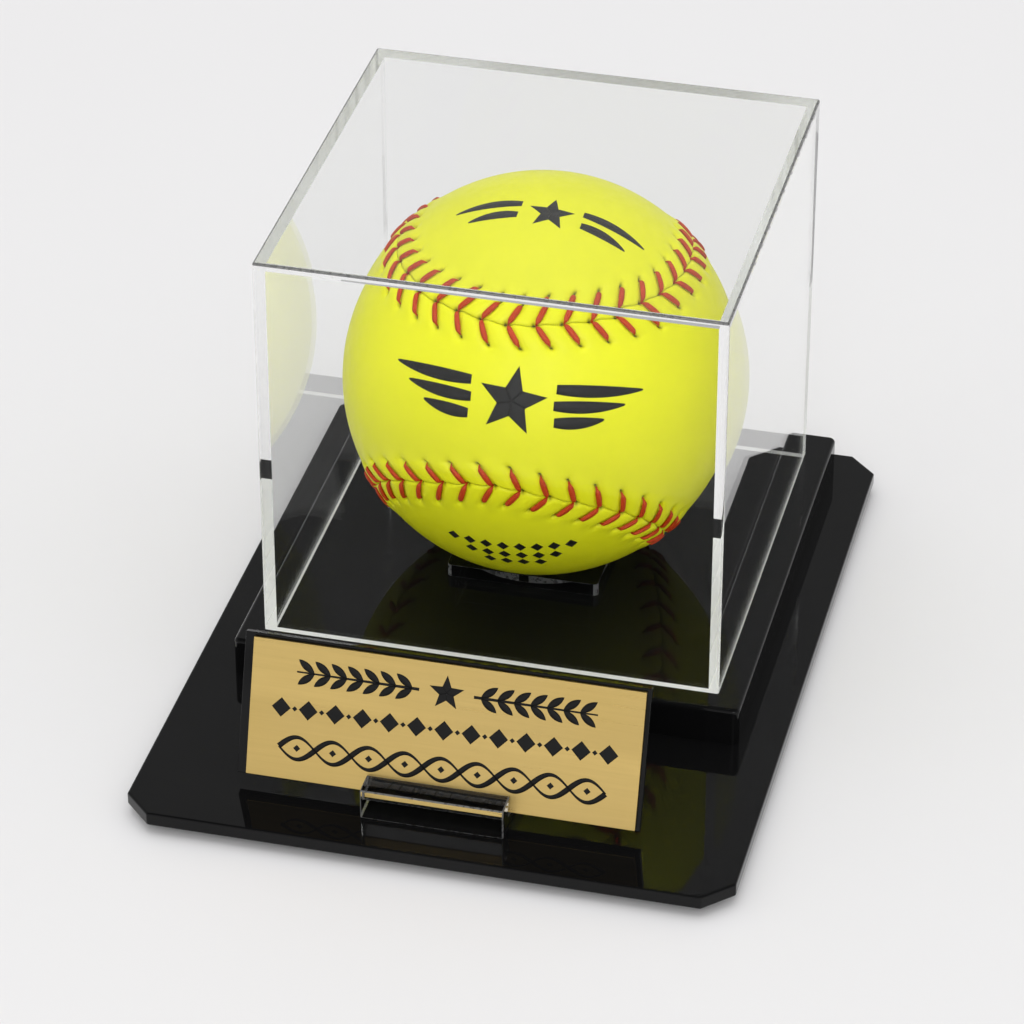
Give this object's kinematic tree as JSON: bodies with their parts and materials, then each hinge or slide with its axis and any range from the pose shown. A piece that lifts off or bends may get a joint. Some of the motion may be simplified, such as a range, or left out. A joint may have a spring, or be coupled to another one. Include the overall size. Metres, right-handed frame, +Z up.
{
  "type": "ball display case",
  "caption": "Display case for a ball: black base and riser, lift-off clear cover, square clear stand with a round hole under a stitched ball, and a leaning nameplate in front.",
  "frame": {"origin": "centre of the base plate's footprint, at the height of the feet's undersides", "axes": "+Z up, +X to the right seen from the front, -Y towards the front, where the nameplate stands"},
  "size_m": [0.134, 0.176, 0.109],
  "materials": {
    "black_acrylic": "polished",
    "clear_acrylic": "polished",
    "foot_rubber": "matte",
    "nameplate_brass": "satin",
    "ball_leather": "satin",
    "ball_core": "matte",
    "seam_thread": "matte",
    "black_ink": "matte"
  },
  "bodies": {
    "base": {"base_plate": "black_acrylic", "foot_front_left": "foot_rubber", "foot_front_right": "foot_rubber", "foot_back_left": "foot_rubber", "foot_back_right": "foot_rubber", "riser": "black_acrylic", "ball_stand": "clear_acrylic", "nameplate_block": "clear_acrylic"},
    "cover": {"cover_left_panel": "clear_acrylic", "cover_right_panel": "clear_acrylic", "cover_front_panel": "clear_acrylic", "cover_back_panel": "clear_acrylic", "cover_top_panel": "clear_acrylic"},
    "nameplate": {"nameplate_face": "nameplate_brass", "nameplate_backing": "black_acrylic"},
    "ball": {"ball_core": "ball_core", "ball_front_leather": "ball_leather", "ball_back_leather": "ball_leather"}
  },
  "joints": [
    {"name": "cover_lift", "type": "slide", "parent": "base", "child": "cover", "axis": [0, 0, 1], "range_m": [0, 0.12]},
    {"name": "nameplate_slide", "type": "slide", "parent": "base", "child": "nameplate", "axis": [0, 0.309, 0.9511], "range_m": [0, 0.03]},
    {"name": "ball_turn", "type": "hinge", "parent": "base", "child": "ball", "pos_m": [0, 0.021, 0.05965], "axis": [0, 0, 1], "continuous": true}
  ]
}
